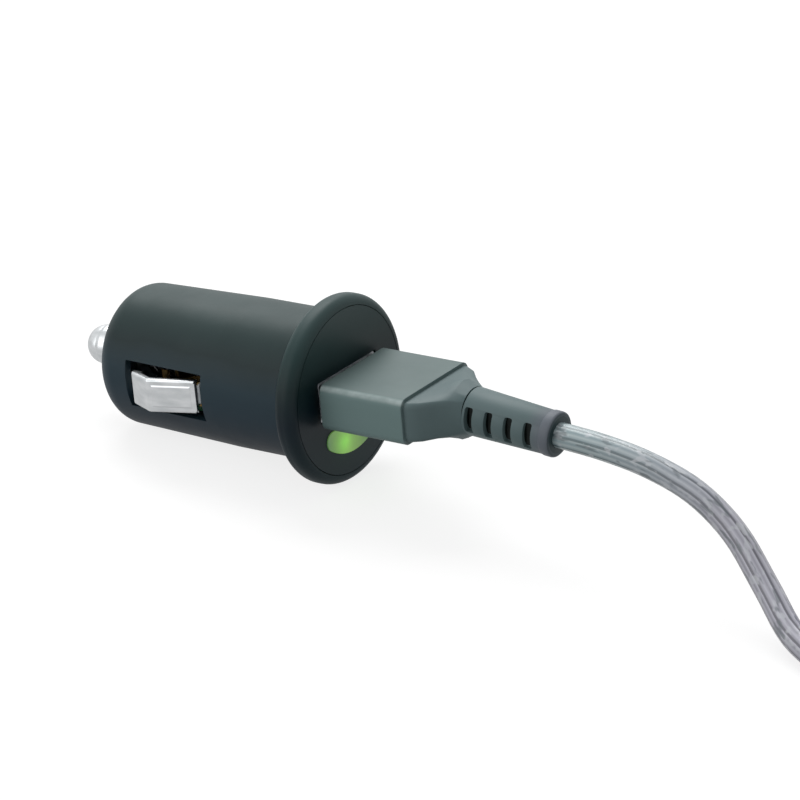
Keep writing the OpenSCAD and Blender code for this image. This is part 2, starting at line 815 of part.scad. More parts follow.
// A plain tube along a list of points, with eight sides
module tube(path, r) {
    sides = 8;
    rings = len(path);
    points = [for (i = [0:rings - 1], k = [0:sides - 1]) ring_point(path, i, k * 360 / sides, r)];
    walls = [for (i = [0:rings - 2], k = [0:sides - 1]) let (m = (k + 1) % sides)
        [i * sides + k, (i + 1) * sides + k, (i + 1) * sides + m, i * sides + m]];
    first = [for (k = [0:sides - 1]) k];
    last = [for (k = [sides - 1:-1:0]) (rings - 1) * sides + k];
    polyhedron(points = points, faces = concat(walls, [first, last]), convexity = 4);
}

// The cord from inside the strain relief to the coil
module cord() {
    inside = [for (d = [-4, 3, 9, relief_len]) rested(relief_point(d))];
    color([0.66, 0.68, 0.72]) tube(concat(inside, lead_points), cord_r);
}

// The tail from the coil to the device plug
module cord_tail() {
    color([0.66, 0.68, 0.72]) tube(tail_points, cord_r);
}

// Half of the coil's outline: two layers high, with a cord's rounding at its rim
module coil_outline() {
    translate([0, cord_r]) square([coil_out, cord_d]);
    square([coil_out - cord_r, 2 * cord_d]);
    for (z = [cord_r, 3 * cord_r]) translate([coil_out - cord_r, z]) circle(cord_r, $fn = 32);
}

// The coil: a long ring of turns, with a groove under the tie
module cord_coil() {
    half = coil_straight / 2;
    color([0.64, 0.66, 0.70]) translate(coil_centre) difference() {
        translate([0, -coil_shift, 0]) {
            for (x = [-half, half]) translate([x, 0, 0]) rotate_extrude($fn = 96) coil_outline();
            along_x(-half, half) {
                coil_outline();
                mirror([1, 0]) coil_outline();
            }
        }
        translate([0, coil_shift, -over]) {
            for (x = [-half, half]) translate([x, 0, 0]) cylinder(h = 2 * cord_d + 2 * over, r = coil_hole);
            block([-half, -coil_hole, 0], [half, coil_hole, 2 * cord_d + 2 * over]);
        }
        block([-tie_w / 2, 0, -over], [tie_w / 2, coil_out + over, tie_t]);
    }
}

// The tie: a flat strap round the coil's far side
module cord_tie() {
    in = coil_shift + coil_hole - loose_gap;
    out = coil_out - coil_shift + loose_gap;
    top = 2 * cord_d + loose_gap;
    color([0.10, 0.10, 0.11]) translate(coil_centre) difference() {
        block([-tie_w / 2, in - tie_t, 0], [tie_w / 2, out + tie_t, top + tie_t]);
        block([-tie_w / 2 - over, in, tie_t], [tie_w / 2 + over, out, top]);
    }
}

// Places the device plug: zero at the back of its grip, X towards its metal end
module at_device() {
    translate([device_x, device_y, device_t / 2]) children();
}

// The device plug's shell: a small metal tube, wider at its top than at its bottom
module device_outline(inset) {
    polygon([
        [-3.43 + inset, 0.9 - inset], [3.43 - inset, 0.9 - inset], [3.43 - inset, -0.1],
        [2.7 - inset * 0.6, -0.9 + inset], [-2.7 + inset * 0.6, -0.9 + inset], [-3.43 + inset, -0.1]
    ]);
}

module device_plug_shell() {
    color([0.76, 0.78, 0.80]) at_device() along_x(device_len - device_in, device_len + device_out) difference() {
        device_outline(0);
        device_outline(0.25);
    }
}

module device_plug_insulator() {
    color([0.12, 0.12, 0.13]) at_device() {
        along_x(device_len - device_in + slide_gap, device_len + 0.6) device_outline(0.28);
        block([device_len, -2.5, -0.62], [device_len + device_out - 0.8, 2.5, -0.02]);
    }
}

// The device plug's grip: a rounded block that narrows to the cord
module device_plug_grip() {
    color([0.42, 0.47, 0.47]) at_device() difference() {
        union() {
            along_x(device_neck, device_len) rounded(device_w, device_t, 1.4);
            hull() {
                along_x(device_neck - over, device_neck) rounded(device_w - 0.6, device_t - 0.6, 1.2);
                rotate([0, 90, 0]) cylinder(h = 0.5, r = cord_r + 0.7, $fn = 32);
            }
        }
        rotate([0, 90, 0]) translate([0, 0, -over])
            cylinder(h = device_neck + over + loose_gap, r = cord_bore_r);
        along_x(device_len - device_in, device_len + over) device_outline(-groove_gap);
    }
}

barrel_housing();
face_plate();
light_pipe();
centre_contact();
contact_spring();
spring_cup();
ground_contact(-1);  // ground_contact_left
ground_contact(1);  // ground_contact_right
ground_spring(-1);  // ground_spring_left
ground_spring(1);  // ground_spring_right
circuit_board();
port_shell();
port_tongue();
port_contact(1);  // port_contact_1
port_contact(2);  // port_contact_2
port_contact(3);  // port_contact_3
port_contact(4);  // port_contact_4
power_inductor();
input_capacitor();
output_capacitor();
converter_chip();
catch_diode();
chip_fuse();
indicator_led();
plug_shell();
plug_insulator();
plug_contact(1);  // plug_contact_1
plug_contact(2);  // plug_contact_2
plug_contact(3);  // plug_contact_3
plug_contact(4);  // plug_contact_4
plug_inner_mould();
plug_grip();
cord();
cord_coil();
cord_tail();
cord_tie();
device_plug_shell();
device_plug_insulator();
device_plug_grip();
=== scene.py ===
import json
import math

import bmesh
import bpy
from mathutils import Matrix, Vector


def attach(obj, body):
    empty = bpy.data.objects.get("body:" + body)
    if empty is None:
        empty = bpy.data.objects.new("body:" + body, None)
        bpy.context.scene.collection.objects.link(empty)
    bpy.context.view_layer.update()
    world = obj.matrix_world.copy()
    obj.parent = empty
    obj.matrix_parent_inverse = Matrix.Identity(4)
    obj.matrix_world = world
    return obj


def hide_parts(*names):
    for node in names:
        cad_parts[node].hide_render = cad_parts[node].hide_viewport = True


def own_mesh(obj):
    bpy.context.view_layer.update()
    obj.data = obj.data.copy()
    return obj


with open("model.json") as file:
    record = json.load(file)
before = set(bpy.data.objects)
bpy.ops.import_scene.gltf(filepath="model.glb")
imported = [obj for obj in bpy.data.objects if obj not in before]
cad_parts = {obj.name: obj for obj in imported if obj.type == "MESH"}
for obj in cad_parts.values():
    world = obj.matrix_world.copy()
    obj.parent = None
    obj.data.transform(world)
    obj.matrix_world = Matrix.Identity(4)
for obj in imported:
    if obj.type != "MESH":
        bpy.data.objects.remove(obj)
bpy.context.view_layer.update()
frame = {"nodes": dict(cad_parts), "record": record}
scene = bpy.context.scene
scene.view_settings.view_transform = "Standard"
MM = 0.001

# Sizes are in millimetres unless a comment says otherwise, and MM turns them into metres.
# The charger's own frame: X along the barrel with zero at the back of the flange. It rests leaning
# on its nose and its rim, so pieces are modelled upright, then leaned and moved by this matrix.
LEAN = math.radians(5.7431)
FLANGE_BACK = (2.2678, 0, 12.9202)
REST = Matrix.Translation(Vector(FLANGE_BACK) * MM) @ Matrix.Rotation(-LEAN, 4, "Y")

# The cable plug's grip: where its block, shoulder and strain relief begin, the height of its
# middle, the block's width and thickness, and the relief's radii, length and droop
GRIP_X, SHOULDER_X, RELIEF_X, PORT_Z = 4.3, 17.5, 23.8, 0.5
GRIP_W, GRIP_T = 15.8, 6.6
RELIEF_R1, RELIEF_R2, RELIEF_LEN = 3.3, 2.95, 13.2
DROOP = math.radians(5)


# The camera stands where the photograph was taken from. Its place is in metres, its angles in
# degrees
CAMERA_PLACE = (0.27988, -0.38238, 0.23807)
CAMERA_AZIMUTH, CAMERA_ELEVATION = 34.83, 25.68
SENSOR_WIDTH, LENS = 36, 174.06

bpy.ops.object.select_all(action="DESELECT")
bpy.ops.object.camera_add(
    location=CAMERA_PLACE,
    rotation=(math.radians(90 - CAMERA_ELEVATION), 0, math.radians(CAMERA_AZIMUTH)),
)
camera = bpy.context.object
camera.name = "photo_camera"
camera.data.sensor_width = SENSOR_WIDTH
camera.data.lens = LENS
scene.camera = camera


# Small helpers for modelling
def clear_selection():
    if bpy.context.object and bpy.context.object.mode != "OBJECT":
        bpy.ops.object.mode_set(mode="OBJECT")
    bpy.ops.object.select_all(action="DESELECT")


def select_only(piece):
    clear_selection()
    piece.select_set(True)
    bpy.context.view_layer.objects.active = piece


def apply_place(piece):
    select_only(piece)
    bpy.ops.object.transform_apply(location=True, rotation=True, scale=True)


def add_block(low, high):
    """A block between two corners."""
    clear_selection()
    low, high = Vector(low) * MM, Vector(high) * MM
    bpy.ops.mesh.primitive_cube_add(size=1, location=(low + high) / 2)
    piece = bpy.context.object
    piece.scale = high - low
    apply_place(piece)
    return piece


def choose(piece, kind, test):
    """In edit mode, selects the corners, edges or faces that pass a test, and nothing else."""
    bpy.context.view_layer.objects.active = piece
    if piece.mode != "EDIT":
        bpy.ops.object.mode_set(mode="EDIT")
    bpy.ops.mesh.select_mode(type=kind)
    bpy.ops.mesh.select_all(action="DESELECT")
    shape = bmesh.from_edit_mesh(piece.data)
    shape.normal_update()
    for part in {"VERT": shape.verts, "EDGE": shape.edges, "FACE": shape.faces}[kind]:
        part.select_set(bool(test(part)))
    bmesh.update_edit_mesh(piece.data)


def choose_along(piece, axis):
    """Selects the edges that run along an axis: 0 for X, 1 for Y and 2 for Z."""
    choose(piece, "EDGE", lambda edge: abs(
        (edge.verts[0].co - edge.verts[1].co).normalized()[axis]
    ) > 0.99)


def draw_out(way):
    """Extrudes what is selected."""
    bpy.ops.mesh.extrude_region_move(
        TRANSFORM_OT_translate={"value": tuple(v * MM for v in way)}
    )


def turn_normals_out():
    """Turns all faces to look outwards and leaves edit mode."""
    bpy.ops.mesh.select_all(action="SELECT")
    bpy.ops.mesh.normals_make_consistent(inside=False)
    bpy.ops.object.mode_set(mode="OBJECT")


def apply_modifier(piece, kind, **values):
    select_only(piece)
    modifier = piece.modifiers.new(kind.lower(), kind)
    for name, value in values.items():
        setattr(modifier, name, value)
    bpy.ops.object.modifier_apply(modifier=modifier.name)


def round_edges(piece, width, segments, limit=40):
    """Rounds the edges at which the shape turns by more than a limit, in degrees."""
    apply_modifier(
        piece, "BEVEL", width=width * MM, segments=segments, angle_limit=math.radians(limit),
    )


def cut_away(piece, cutters):
    cutter = join_pieces(cutters)
    apply_modifier(piece, "BOOLEAN", object=cutter, operation="DIFFERENCE", solver="EXACT")
    bpy.data.objects.remove(cutter)


def join_pieces(pieces):
    clear_selection()
    for piece in pieces:
        piece.select_set(True)
    bpy.context.view_layer.objects.active = pieces[0]
    bpy.ops.object.join()
    return pieces[0]


def soften(piece, angle=35):
    """Smooth shading, but for the edges sharper than an angle in degrees."""
    select_only(piece)
    bpy.ops.object.shade_smooth_by_angle(angle=math.radians(angle))


def turn_piece(piece, place):
    """Moves a piece by a matrix and leaves its origin where it was."""
    piece.matrix_world = place
    apply_place(piece)


def place_piece(piece, name, body, finish, stands_for):
    """Names a finished piece, and ties it to its body and the solids it replaces."""
    clear_selection()
    piece.name = name
    piece.data.name = name
    piece.data.materials.clear()
    piece.data.materials.append(finish.material)
    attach(piece, body)
    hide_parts(*stands_for)


# Finishes
def srgb(*values):
    """A colour as it is seen, 0 to 255, in the shader's own units."""
    return tuple(
        v / 255 / 12.92 if v <= 10 else ((v / 255 + 0.055) / 1.055) ** 2.4 for v in values
    ) + (1,)


class Finish:
    """A material with its Principled shader and a few ways to add nodes to it. What a method gives
    back is the socket with its result."""

    def __init__(self, name, roughness=0.5, metallic=0.0):
        self.material = bpy.data.materials.new(name)
        self.material.use_nodes = True
        self.tree = self.material.node_tree
        self.shader = self.tree.nodes["Principled BSDF"]
        self.shader.inputs["Roughness"].default_value = roughness
        self.shader.inputs["Metallic"].default_value = metallic
        self.place = self.node("ShaderNodeTexCoord").outputs["Object"]

    def node(self, kind, **inputs):
        made = self.tree.nodes.new(kind)
        for name, value in inputs.items():
            made.inputs[name.replace("_", " ")].default_value = value
        return made

    def link(self, a, b):
        self.tree.links.new(a, b)

    def stretched(self, scale, turn=(0, 0, 0), source=None):
        mapping = self.node("ShaderNodeMapping", Scale=scale, Rotation=turn)
        self.link(source or self.place, mapping.inputs["Vector"])
        return mapping.outputs["Vector"]

    def noise(self, scale, detail=3.0, source=None):
        noise = self.node("ShaderNodeTexNoise", Scale=scale, Detail=detail)
        self.link(source or self.place, noise.inputs["Vector"])
        return noise.outputs["Fac"]

    def own_frame(self):
        """The charger's own X, Y and Z before it was leaned, as three values."""
        mapping = self.node(
            "ShaderNodeMapping", Location=REST.to_translation(), Rotation=REST.to_euler(),
        )
        mapping.vector_type = "TEXTURE"
        self.link(self.place, mapping.inputs["Vector"])
        split = self.node("ShaderNodeSeparateXYZ")
        self.link(mapping.outputs["Vector"], split.inputs["Vector"])
        return split.outputs["X"], split.outputs["Y"], split.outputs["Z"]

    def ramp(self, value, stops):
        ramp = self.node("ShaderNodeValToRGB")
        points = ramp.color_ramp.elements
        while len(points) < len(stops):
            points.new(0.5)
        for point, (at, colour) in zip(points, stops):
            point.position = at
            point.color = colour
        self.link(value, ramp.inputs["Fac"])
        return ramp.outputs["Color"]

    def remap(self, value, low, high, from_low=0.0, from_high=1.0):
        """A value between two limits, brought to between low and high."""
        remap = self.node(
            "ShaderNodeMapRange", From_Min=from_low, From_Max=from_high, To_Min=low, To_Max=high,
        )
        self.link(value, remap.inputs["Value"])
        return remap.outputs["Result"]

    def calc(self, how, a, b=None):
        made = self.node("ShaderNodeMath")
        made.operation = how
        for socket, value in zip(made.inputs, (a, b)):
            if value is None:
                continue
            if isinstance(value, (int, float)):
                socket.default_value = value
            else:
                self.link(value, socket)
        return made.outputs["Value"]

    def vector(self, how, a, b=None):
        """A sum with vectors. A length or a dot product is a plain value."""
        made = self.node("ShaderNodeVectorMath")
        made.operation = how
        self.link(a, made.inputs[0])
        if b is not None:
            made.inputs[1].default_value = b
        return made.outputs["Value" if how in ("LENGTH", "DOT_PRODUCT") else "Vector"]

    def mix(self, share, a, b):
        made = self.node("ShaderNodeMix")
        made.data_type = "RGBA"
        self.link(share, made.inputs["Factor"])
        for socket, value in ((made.inputs[6], a), (made.inputs[7], b)):
            if isinstance(value, tuple):
                socket.default_value = value
            else:
                self.link(value, socket)
        return made.outputs[2]

    def bump(self, height, strength, distance):
        bump = self.node("ShaderNodeBump", Strength=strength, Distance=distance)
        self.link(height, bump.inputs["Height"])
        self.link(bump.outputs["Normal"], self.shader.inputs["Normal"])

    def paint(self, colour):
        self.link(colour, self.shader.inputs["Base Color"])

    def rough(self, value):
        self.link(value, self.shader.inputs["Roughness"])


def moulded(name, dark, light, low, high, grain=1400, depth=0.00002, specular=0.35):
    """Moulded plastic: a fine spark-eroded grain and a slow drift of tone and gloss."""
    finish = Finish(name)
    finish.shader.inputs["Specular IOR Level"].default_value = specular
    drift = finish.noise(90, 4)
    finish.paint(finish.ramp(drift, [(0.3, dark), (0.7, light)]))
    finish.rough(finish.remap(finish.noise(260, 3), low, high))
    finish.bump(finish.noise(grain, 2), 0.35, depth)
    return finish


def plated(name, dark, light, low, high, streak=(60, 900, 900)):
    """Plated metal with faint streaks from the rolling of its sheet."""
    finish = Finish(name, metallic=1.0)
    streaks = finish.noise(1, 4, finish.stretched(streak))
    finish.paint(finish.ramp(streaks, [(0.3, dark), (0.7, light)]))
    finish.rough(finish.remap(streaks, low, high))
    finish.bump(streaks, 0.15, 0.00001)
    return finish


# Painted shading from underside to top, first for the flange and the face, then for the barrel: a
# darker underside, a painted dark band across the middle and a painted highlight on top
DISC_PAINTED_SHADE = [
    (0.0, srgb(36, 56, 62)), (0.25, srgb(22, 42, 48)), (0.5, srgb(4, 24, 34)),
    (0.68, srgb(12, 34, 36)), (0.85, srgb(36, 60, 60)), (1.0, srgb(60, 80, 80)),
]
BARREL_PAINTED_SHADE = [
    (0.0, srgb(12, 21, 28)), (0.25, srgb(26, 42, 54)), (0.45, srgb(38, 57, 68)),
    (0.6, srgb(42, 61, 70)), (0.74, srgb(26, 43, 45)), (0.88, srgb(44, 62, 62)),
    (1.0, srgb(78, 95, 95)),
]
# The heights over which the painted shade runs, and where along X the barrel's gives way to the
# flange's
PAINTED_SHADE_FROM_Z, PAINTED_SHADE_TO_Z = -13, 12
DISC_FROM_X, DISC_TO_X = 0.1, 0.5


def painted_shade_moulding(name, tones, low, high, specular, with_disc=False):
    """Moulded plastic: blue-grey painted shade below, a painted highlight on its greener top."""
    finish = moulded(name, srgb(30, 42, 44), srgb(38, 50, 52), low, high, specular=specular)
    x, _, z = finish.own_frame()
    height = finish.remap(z, 0.0, 1.0, PAINTED_SHADE_FROM_Z * MM, PAINTED_SHADE_TO_Z * MM)
    height = finish.calc("ADD", height, finish.remap(finish.noise(120, 4), -0.05, 0.05))
    tone = finish.ramp(height, tones)
    # On the flange, the disc's painted shade with its dark band takes over from the barrel's.
    if with_disc:
        on_disc = finish.remap(x, 0.0, 1.0, DISC_FROM_X * MM, DISC_TO_X * MM)
        tone = finish.mix(on_disc, tone, finish.ramp(height, DISC_PAINTED_SHADE))
    finish.paint(tone)
    return finish


# The barrel and the face carry painted shade and a painted highlight by height.
barrel_finish = painted_shade_moulding("barrel_plastic", BARREL_PAINTED_SHADE, 0.4, 0.52, 0.22, with_disc=True)
face_finish = painted_shade_moulding("face_plastic", DISC_PAINTED_SHADE, 0.34, 0.44, 0.22)
nickel = plated("nickel_plate", srgb(196, 200, 202), srgb(222, 224, 226), 0.24, 0.36)
wire = plated("spring_wire", srgb(150, 152, 156), srgb(180, 182, 186), 0.25, 0.4)
brass = plated("spring_bronze", srgb(122, 100, 62), srgb(150, 124, 80), 0.34, 0.48)
shell_metal = plated("plug_metal", srgb(176, 180, 184), srgb(204, 207, 210), 0.22, 0.36)
gold = plated("gold_flash", srgb(206, 164, 70), srgb(228, 190, 96), 0.22, 0.32)
can_metal = plated("can_metal", srgb(170, 174, 180), srgb(196, 198, 202), 0.3, 0.42)
white_finish = moulded("white_plastic", srgb(214, 214, 208), srgb(226, 226, 221), 0.4, 0.5)
black_finish = moulded("black_plastic", srgb(24, 24, 26), srgb(34, 34, 36), 0.42, 0.55)
ferrite = moulded("ferrite", srgb(56, 56, 60), srgb(74, 74, 78), 0.55, 0.7, 2200, 0.00004)
board_finish = moulded("solder_resist", srgb(18, 84, 46), srgb(28, 100, 58), 0.25, 0.4, 500)


GRIP_TONES = srgb(100, 119, 118), srgb(111, 130, 129)
# How far in from the block's sides its worn edges run, with their painted highlight, where along
# the relief its tone turns grey, and the radius inside which its slots are painted dark as shade
EDGE_IN, GREY_FROM, GREY_TO, SLOT_SHADE_R = 0.4, 9.5, 12.0, 2.5


def grip_with_painted_light():
    """The plug's grip: painted light on its block's sides, worn top edges with a painted highlight,
    painted shade on the shoulder, a greyer end on its strain relief, and painted shade down in the
    relief's slots with a painted shadow round the cord."""
    finish = moulded("grip_plastic", *GRIP_TONES, 0.42, 0.56)
    tone = finish.shader.inputs["Base Color"].links[0].from_socket
    x, y, z = finish.own_frame()
    half, top = GRIP_W / 2, PORT_Z + GRIP_T / 2
    beside = finish.calc("ABSOLUTE", y)
    on_block = finish.remap(x, 1.0, 0.0, (SHOULDER_X - 0.2) * MM, (SHOULDER_X + 0.2) * MM)

    # Painted light: the block's sides are painted paler, as where light falls on them.
    painted_side_light = finish.remap(beside, 0.0, 1.0, (half - 1.0) * MM, (half - 0.1) * MM)
    tone = finish.mix(finish.calc("MULTIPLY", on_block, painted_side_light), tone, srgb(120, 145, 144))
    # Painted shade: past the block, the shoulder and the relief are painted darker.
    painted_shoulder_shade = finish.calc("MULTIPLY", finish.calc("SUBTRACT", 1.0, on_block), 0.6)
    tone = finish.mix(painted_shoulder_shade, tone, srgb(94, 114, 118))

    # The block's top edges are worn, and painted paler as a highlight along them.
    off_edge = finish.node("ShaderNodeCombineXYZ")
    finish.link(finish.calc("SUBTRACT", beside, (half - EDGE_IN) * MM), off_edge.inputs["X"])
    finish.link(finish.calc("SUBTRACT", z, (top - EDGE_IN) * MM), off_edge.inputs["Y"])
    from_edge = finish.vector("LENGTH", off_edge.outputs["Vector"])
    wear_and_highlight = finish.remap(from_edge, 0.9, 0.0, 0.15 * MM, 0.55 * MM)
    wear_and_highlight = finish.calc("MULTIPLY", wear_and_highlight, finish.remap(finish.noise(500, 3), 0.5, 1.0, 0.35, 0.6))
    tone = finish.mix(finish.calc("MULTIPLY", wear_and_highlight, on_block), tone, srgb(184, 199, 198))

    # The distance out along the relief's own line, and the distance from that line
    root = REST @ (Vector((RELIEF_X, 0, PORT_Z)) * MM)
    line = REST.to_3x3() @ Vector((math.cos(DROOP), 0, -math.sin(DROOP)))
    away = finish.vector("SUBTRACT", finish.place, root)
    out = finish.vector("DOT_PRODUCT", away, line)
    depth = finish.vector("LENGTH", finish.vector("CROSS_PRODUCT", away, line))
    greyed = finish.remap(out, 0.0, 0.7, GREY_FROM * MM, GREY_TO * MM)
    tone = finish.mix(greyed, tone, srgb(116, 118, 130))
    # Painted shade: dark down in the relief's slots and round the cord, near the relief's line.
    inside = finish.calc("LESS_THAN", depth, SLOT_SHADE_R * MM)
    for how, limit in (("GREATER_THAN", 0.0), ("LESS_THAN", 15 * MM)):
        inside = finish.calc("MULTIPLY", inside, finish.calc(how, out, limit))
    tone = finish.mix(inside, tone, srgb(12, 22, 20))
    # Painted shadow on the relief's end face round the cord.
    end_shadow = finish.remap(out, 0.0, 0.75, (RELIEF_LEN - 0.12) * MM, (RELIEF_LEN - 0.02) * MM)
    tone = finish.mix(end_shadow, tone, srgb(38, 60, 64))
    finish.paint(tone)
    return finish


grip_finish = grip_with_painted_light()
device_grip_finish = moulded("device_grip_plastic", *GRIP_TONES, 0.42, 0.56)


# The lit window: how far its brightest place lies to the side, and half its width
GLOW_OFF, GLOW_HALF = 1.4, 6.2


def lit_lens():
    """A green lens lit from behind: strongest in its middle, paler and dimmer towards its ends."""
    finish = Finish("lit_lens", roughness=0.3)
    split = finish.node("ShaderNodeSeparateXYZ")
    finish.link(finish.place, split.inputs["Vector"])
    away = finish.calc("ABSOLUTE", finish.calc("ADD", split.outputs["Y"], GLOW_OFF * MM))
    share = finish.calc("MULTIPLY", away, 1 / (GLOW_HALF * MM))
    cloud = finish.noise(700, 3)
    share = finish.calc("ADD", share, finish.remap(cloud, -0.12, 0.12))
    colour = finish.ramp(share, [
        (0.0, srgb(150, 190, 96)), (0.4, srgb(128, 172, 84)), (0.75, srgb(98, 142, 84)),
        (1.0, srgb(78, 104, 76)),
    ])
    finish.paint(colour)
    finish.link(colour, finish.shader.inputs["Emission Color"])
    finish.shader.inputs["Emission Strength"].default_value = 0.35
    finish.shader.inputs["Coat Weight"].default_value = 0.4
    return finish


lens = lit_lens()


# The streaks round the cord, and the stretch from its plug over which its green tone turns grey
STREAKS, GREEN_TO, GREY_AT = 7, 22, 44


def cord_jacket():
    """A clear jacket over a silver screen: dark and pale streaks run along it, broken by the weave.

    The map's first value goes round the cord once and its second is the distance along it, in
    metres. The jacket is greener by the plug and greyer further on."""
    finish = Finish("cord_jacket", roughness=0.3)
    finish.shader.inputs["Coat Weight"].default_value = 0.4
    finish.shader.inputs["Coat Roughness"].default_value = 0.15
    uv_node = finish.node("ShaderNodeUVMap")
    uv_node.uv_map = "cord_uv"
    uv = uv_node.outputs["UV"]
    split = finish.node("ShaderNodeSeparateXYZ")
    finish.link(uv, split.inputs["Vector"])
    round_it, along_it = split.outputs["X"], split.outputs["Y"]
    wander = finish.noise(1, 2, finish.stretched((0.01, 60, 1), source=uv))
    streak = finish.calc("ADD", finish.calc("MULTIPLY", round_it, STREAKS),
                         finish.remap(wander, -0.35, 0.35))
    streak = finish.calc("FRACT", streak)
    tones = []
    for pale, silver, dark in (
        (srgb(196, 212, 214), srgb(150, 172, 178), srgb(84, 110, 116)),
        (srgb(214, 214, 226), srgb(170, 170, 182), srgb(108, 108, 120)),
    ):
        tones.append(finish.ramp(streak, [
            (0.0, dark), (0.14, dark), (0.22, pale), (0.45, silver), (0.7, pale),
            (0.92, silver), (1.0, dark),
        ]))
    tone = finish.mix(finish.remap(along_it, 0.0, 1.0, GREEN_TO * MM, GREY_AT * MM), *tones)
    marks = finish.noise(1, 2, finish.stretched((9, 420, 1), source=uv))
    tone = finish.mix(finish.remap(marks, 0.0, 0.55, 0.56, 0.62), tone, srgb(222, 226, 232))
    gaps = finish.noise(1, 2, finish.stretched((12, 300, 1), turn=(0, 0, 0.02), source=uv))
    tone = finish.mix(finish.remap(gaps, 0.0, 0.6, 0.57, 0.64), tone, srgb(96, 108, 114))
    finish.paint(tone)
    finish.bump(finish.noise(900, 2), 0.2, 0.00002)
    return finish


jacket = cord_jacket()

SLOT_FINISH = {
    "barrel_plastic": barrel_finish, "face_plastic": face_finish, "lit_window": lens,
    "nickel": nickel, "spring_steel": wire, "brass": brass, "board": board_finish,
    "port_metal": shell_metal, "white_plastic": white_finish, "gold_contact": gold,
    "ferrite": ferrite, "capacitor_can": can_metal, "chip_black": black_finish,
    "chip_white": white_finish, "grip_plastic": grip_finish, "cord_jacket": jacket,
    "tie_plastic": black_finish,
}
for part in frame["record"]["subparts"]:
    for place in frame["nodes"][part["node"]].material_slots:
        place.material = SLOT_FINISH[part["material_slot"]].material


# The cord: lead, long coil of two layers, tail; its route in millimetres
in_relief = [(21.899, 0, 15.747), (28.898, 0, 15.838), (34.898, 0, 15.916), (39.097, 0, 15.971)]
lead = [
    (46, 0, 16.05), (53, 0, 15.45), (60, -0.3, 13.75), (66.5, -1.4, 10.4),
    (73, -4.4, 6.0), (79.5, -8.4, 2.7), (86, -10.8, 1.8),
]
tail = [
    (123, -11.25, 5.2), (127, -10.85, 4.8), (130.5, -9.3, 4.1), (133, -8.1, 3.7),
    (135.3, -7.6, 3.5), (141.5, -7.6, 3.5),
]
CORD_D, CORD_SIDES = 3.5, 16

# The coil: two straight sides between two half rounds. Its outermost strand lies COIL_R from the
# line between the half rounds' middles, and the strands rise a little where they pass in the tie
COIL_R, COIL_LEFT, COIL_RIGHT, COIL_Y = 15.5, 93.2, 121.2, 4.25
LAYER_TURNS = 3
STRAIGHT_STEPS, STEP = 14, 2
ROUND_STEPS, ROUND_ANGLE = 18, 10
TIE_X = (COIL_LEFT + COIL_RIGHT) / 2
TIE_REACH, TIE_LIFT_LOW, TIE_LIFT_HIGH = 7, 0.5, 0.15


def ease(t):
    """From 0 to 1 with a soft start and end."""
    return t * t * (3 - 2 * t)


def half_round(middle_x, middle_y, radius, first_angle, height):
    """Points round half a circle; height gives each one's Z for its share of the way."""
    points = []
    for i in range(ROUND_STEPS):
        a = math.radians(first_angle + ROUND_ANGLE * i)
        points.append((
            middle_x + radius * math.cos(a), middle_y + radius * math.sin(a),
            height(i / ROUND_STEPS),
        ))
    return points


def coil_points():
    """Three turns inwards on the floor, then three outwards on top of them."""
    turns = 2 * LAYER_TURNS
    route = []
    for turn in range(turns):
        near, far = (COIL_R - CORD_D * min(k, turns - k) for k in (turn, turn + 0.5))
        after = COIL_R - CORD_D * min(turn + 1, turns - 1 - turn)
        on_floor = turn < LAYER_TURNS
        low = CORD_D * (0.5 if on_floor else 1.5)
        rise = CORD_D if turn == LAYER_TURNS - 1 else 0
        for i in range(STRAIGHT_STEPS):
            route.append((COIL_LEFT + STEP * i, COIL_Y - near, low))
        route += half_round(
            COIL_RIGHT, COIL_Y + (far - near) / 2, (near + far) / 2, -90, lambda t: low
        )
        for i in range(STRAIGHT_STEPS):
            x = COIL_RIGHT - STEP * i
            off_tie = min(abs(x - TIE_X) / TIE_REACH, 1)
            lift = (TIE_LIFT_LOW if on_floor else TIE_LIFT_HIGH) * (1 - ease(off_tie))
            route.append((x, COIL_Y + far, low + lift))
        route += half_round(
            COIL_LEFT, COIL_Y + (far - after) / 2, (far + after) / 2, 90,
            lambda t: low + rise * ease(t),
        )
    for i in range(STRAIGHT_STEPS + 1):
        route.append((COIL_LEFT + STEP * i, COIL_Y - COIL_R, 1.5 * CORD_D))
    return route


def smooth_line(points, steps):
    """Points on a smooth line through the given ones."""
    line = []
    for i in range(len(points) - 1):
        before = Vector(points[max(i - 1, 0)])
        a, b = Vector(points[i]), Vector(points[i + 1])
        after = Vector(points[min(i + 2, len(points) - 1)])
        for k in range(steps):
            t = k / steps
            line.append(0.5 * (
                2 * a + (b - before) * t + (2 * before - 5 * a + 4 * b - after) * t * t
                + (3 * a - before - 3 * b + after) * t ** 3
            ))
    line.append(Vector(points[-1]))
    return line


coil = coil_points()
start = smooth_line(in_relief + lead + coil[:3:2], 5)[:-6]
ending = smooth_line([coil[-2], coil[-1]] + tail, 4)[5:]
centre_line = [Vector(p) * MM for p in start + coil + ending]


